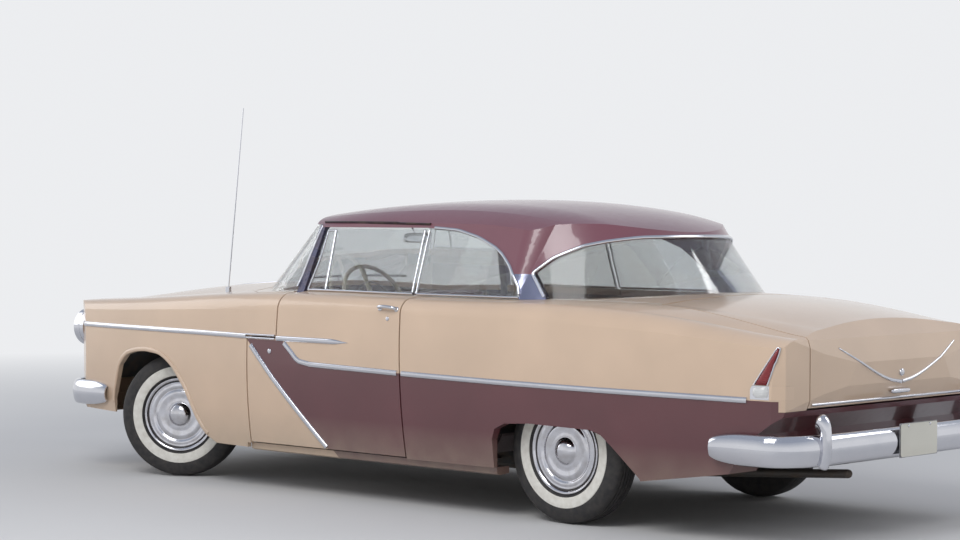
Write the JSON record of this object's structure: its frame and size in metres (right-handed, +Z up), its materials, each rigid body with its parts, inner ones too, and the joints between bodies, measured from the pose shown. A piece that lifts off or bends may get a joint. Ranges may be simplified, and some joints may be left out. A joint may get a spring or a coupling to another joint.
{
  "type": "classic car",
  "caption": "Two-door 1950s hardtop coupe with wraparound glass, low fins, chrome bumpers and whitewall tyres, with doors, lids, wheels and steering that move.",
  "frame": {"origin": "on the ground below the middle of the part's bounding box", "axes": "+Z up, -Y towards the front of the car, +X towards the car's left side"},
  "size_m": [1.9174, 5.176, 2.0254],
  "materials": {
    "cream_paint": "gloss",
    "maroon_paint": "gloss",
    "chrome": "polished",
    "glass": "clear",
    "red_lens": "gloss",
    "black_steel": "satin",
    "bare_steel": "dull",
    "cast_iron": "rough",
    "tyre": "matt",
    "upholstery": "woven",
    "trim_board": "matt",
    "wheel_rim_plastic": "gloss"
  },
  "bodies": {
    "car_body": {"front_fenders": "cream_paint", "quarter_panels": "cream_paint", "cowl_panel": "cream_paint", "rear_deck_panel": "cream_paint", "front_panel": "cream_paint", "roof_panel": "maroon_paint", "tail_panel": "maroon_paint", "rocker_panels": "maroon_paint", "windshield_pillars": "chrome", "tail_lamp_bezels": "chrome", "grille_bars": "chrome", "front_bumper": "chrome", "rear_bumper": "chrome", "headlamps": "chrome", "antenna": "chrome", "windshield_glass": "glass", "backlight_glass": "glass", "quarter_windows": "glass", "tail_lamp_lenses": "red_lens", "chassis_frame": "black_steel", "wheel_houses": "black_steel", "rear_axle": "black_steel", "front_suspension": "black_steel", "leaf_springs": "black_steel", "radiator": "black_steel", "fuel_tank": "black_steel", "floor_pan": "black_steel", "exhaust": "bare_steel", "driveline": "bare_steel", "engine_block": "cast_iron", "front_seat": "upholstery", "rear_seat": "upholstery", "package_shelf": "trim_board", "dashboard": "trim_board", "steering_column": "trim_board"},
    "door_left": {"door_panel_left": "cream_paint", "door_glass_left": "glass"},
    "door_right": {"door_panel_right": "cream_paint", "door_glass_right": "glass"},
    "hood": {"hood_panel": "cream_paint"},
    "trunk_lid": {"trunk_lid_panel": "cream_paint"},
    "knuckle_l": {"knuckle_left": "black_steel"},
    "knuckle_r": {"knuckle_right": "black_steel"},
    "front_wheel_l": {"wheel_front_left": "chrome", "tyre_front_left": "tyre"},
    "front_wheel_r": {"wheel_front_right": "chrome", "tyre_front_right": "tyre"},
    "rear_wheel_l": {"wheel_rear_left": "chrome", "tyre_rear_left": "tyre"},
    "rear_wheel_r": {"wheel_rear_right": "chrome", "tyre_rear_right": "tyre"},
    "steering": {"steering_wheel": "wheel_rim_plastic"}
  },
  "joints": [
    {"name": "left_door_hinge", "type": "hinge", "parent": "car_body", "child": "door_left", "pos_m": [0.937, -0.908, 0.6], "axis": [0, 0, -1], "range_deg": [0, 65]},
    {"name": "right_door_hinge", "type": "hinge", "parent": "car_body", "child": "door_right", "pos_m": [-0.937, -0.908, 0.6], "axis": [0, 0, 1], "range_deg": [0, 65]},
    {"name": "hood_hinge", "type": "hinge", "parent": "car_body", "child": "hood", "pos_m": [0, -1.167, 1.036], "axis": [-1, 0, 0], "range_deg": [0, 50]},
    {"name": "trunk_lid_hinge", "type": "hinge", "parent": "car_body", "child": "trunk_lid", "pos_m": [0, 1.541, 1.032], "axis": [1, 0, 0], "range_deg": [0, 65]},
    {"name": "left_steering_pivot", "type": "hinge", "parent": "car_body", "child": "knuckle_l", "pos_m": [0.66, -1.75, 0.343], "axis": [0, 0, 1], "range_deg": [-65.5, 4.5]},
    {"name": "right_steering_pivot", "type": "hinge", "parent": "car_body", "child": "knuckle_r", "pos_m": [-0.66, -1.75, 0.343], "axis": [0, 0, 1], "range_deg": [-65.5, 4.5]},
    {"name": "front_left_wheel_spin", "type": "hinge", "parent": "knuckle_l", "child": "front_wheel_l", "pos_m": [0.7315, -1.7079, 0.343], "axis": [0.8616, 0.5075, 0], "continuous": true},
    {"name": "front_right_wheel_spin", "type": "hinge", "parent": "knuckle_r", "child": "front_wheel_r", "pos_m": [-0.7315, -1.7921, 0.343], "axis": [0.8616, 0.5075, 0], "continuous": true},
    {"name": "rear_left_wheel_spin", "type": "hinge", "parent": "car_body", "child": "rear_wheel_l", "pos_m": [0.743, 1.171, 0.343], "axis": [1, 0, 0], "continuous": true},
    {"name": "rear_right_wheel_spin", "type": "hinge", "parent": "car_body", "child": "rear_wheel_r", "pos_m": [-0.743, 1.171, 0.343], "axis": [1, 0, 0], "continuous": true},
    {"name": "steering_wheel_turn", "type": "hinge", "parent": "car_body", "child": "steering", "pos_m": [0.36, -0.56, 0.985], "axis": [0, 0.8829, 0.4695], "range_deg": [-1480, 102]}
  ],
  "couplings": [
    {"joint": "right_steering_pivot", "follows": "left_steering_pivot", "ratio": 1}
  ]
}
